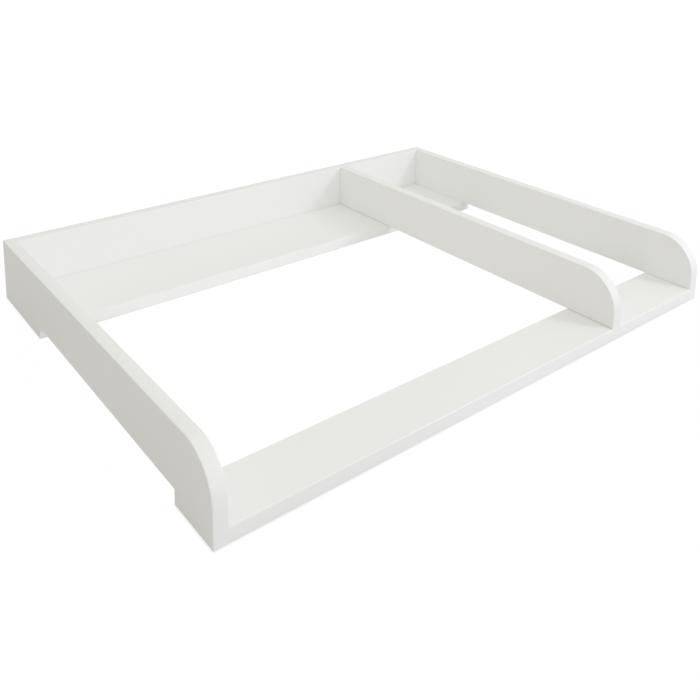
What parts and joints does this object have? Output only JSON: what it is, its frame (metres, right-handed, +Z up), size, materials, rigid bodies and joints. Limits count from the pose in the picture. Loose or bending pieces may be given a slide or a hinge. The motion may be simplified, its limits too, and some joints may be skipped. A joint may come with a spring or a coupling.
{
  "type": "changing table top",
  "caption": "Shallow white tray for the top of a chest of drawers: a changing bay and a narrow side tray, rounded front corners and an open middle.",
  "frame": {"origin": "middle of the footprint on the resting plane", "axes": "+X along the width to the user's right, -Y towards the open front where the user stands, +Y towards the back panel, +Z up"},
  "size_m": [1.08, 0.8, 0.116],
  "materials": {
    "board": "white melamine-faced particle board, satin",
    "edge_band": "white plastic edge banding, satin",
    "cam": "die-cast zinc, dull",
    "bolt": "zinc-plated steel",
    "screw": "zinc-plated steel",
    "dowel": "plain beech"
  },
  "bodies": {
    "frame": {"back_panel": "board", "cam_bolt_back_left": "bolt", "cam_bolt_back_right": "bolt", "cam_bolt_front_left": "bolt", "cam_bolt_front_right": "bolt", "cam_bolt_rear_left": "bolt", "cam_bolt_rear_right": "bolt", "divider": "board", "dowel_back_left_1": "dowel", "dowel_back_left_2": "dowel", "dowel_back_right_1": "dowel", "dowel_back_right_2": "dowel", "dowel_front_left": "dowel", "dowel_front_right": "dowel", "dowel_rear_left_1": "dowel", "dowel_rear_left_2": "dowel", "dowel_rear_right_1": "dowel", "dowel_rear_right_2": "dowel", "edge_band_back_panel": "edge_band", "edge_band_divider": "edge_band", "edge_band_front_board_front": "edge_band", "edge_band_front_board_rear": "edge_band", "edge_band_left_panel": "edge_band", "edge_band_left_panel_rear": "edge_band", "edge_band_rear_board": "edge_band", "edge_band_right_panel": "edge_band", "edge_band_right_panel_rear": "edge_band", "front_board": "board", "rear_board": "board", "screw_divider_back_1": "screw", "screw_divider_back_2": "screw", "screw_divider_front_1": "screw", "screw_divider_front_2": "screw", "screw_divider_rear_1": "screw", "screw_divider_rear_2": "screw", "screw_rear_board_1": "screw", "screw_rear_board_2": "screw", "screw_rear_board_3": "screw", "screw_rear_board_4": "screw", "side_panel_left": "board", "side_panel_right": "board"},
    "cam_back_left_turn": {"cam_back_left": "cam"},
    "cam_back_right_turn": {"cam_back_right": "cam"},
    "cam_front_left_turn": {"cam_front_left": "cam"},
    "cam_front_right_turn": {"cam_front_right": "cam"},
    "cam_rear_left_turn": {"cam_rear_left": "cam"},
    "cam_rear_right_turn": {"cam_rear_right": "cam"}
  },
  "joints": [
    {"name": "cam_back_left_lock", "type": "hinge", "parent": "frame", "child": "cam_back_left_turn", "pos_m": [-0.484, 0.4, 0.058], "axis": [0, 1, 0], "range_deg": [0, 200]},
    {"name": "cam_back_right_lock", "type": "hinge", "parent": "frame", "child": "cam_back_right_turn", "pos_m": [0.484, 0.4, 0.058], "axis": [0, 1, 0], "range_deg": [0, 200]},
    {"name": "cam_front_left_lock", "type": "hinge", "parent": "frame", "child": "cam_front_left_turn", "pos_m": [-0.484, -0.363, 0], "axis": [0, 0, -1], "range_deg": [0, 200]},
    {"name": "cam_front_right_lock", "type": "hinge", "parent": "frame", "child": "cam_front_right_turn", "pos_m": [0.484, -0.363, 0], "axis": [0, 0, -1], "range_deg": [0, 200]},
    {"name": "cam_rear_left_lock", "type": "hinge", "parent": "frame", "child": "cam_rear_left_turn", "pos_m": [-0.484, 0.29, 0], "axis": [0, 0, -1], "range_deg": [0, 200]},
    {"name": "cam_rear_right_lock", "type": "hinge", "parent": "frame", "child": "cam_rear_right_turn", "pos_m": [0.484, 0.29, 0], "axis": [0, 0, -1], "range_deg": [0, 200]}
  ]
}
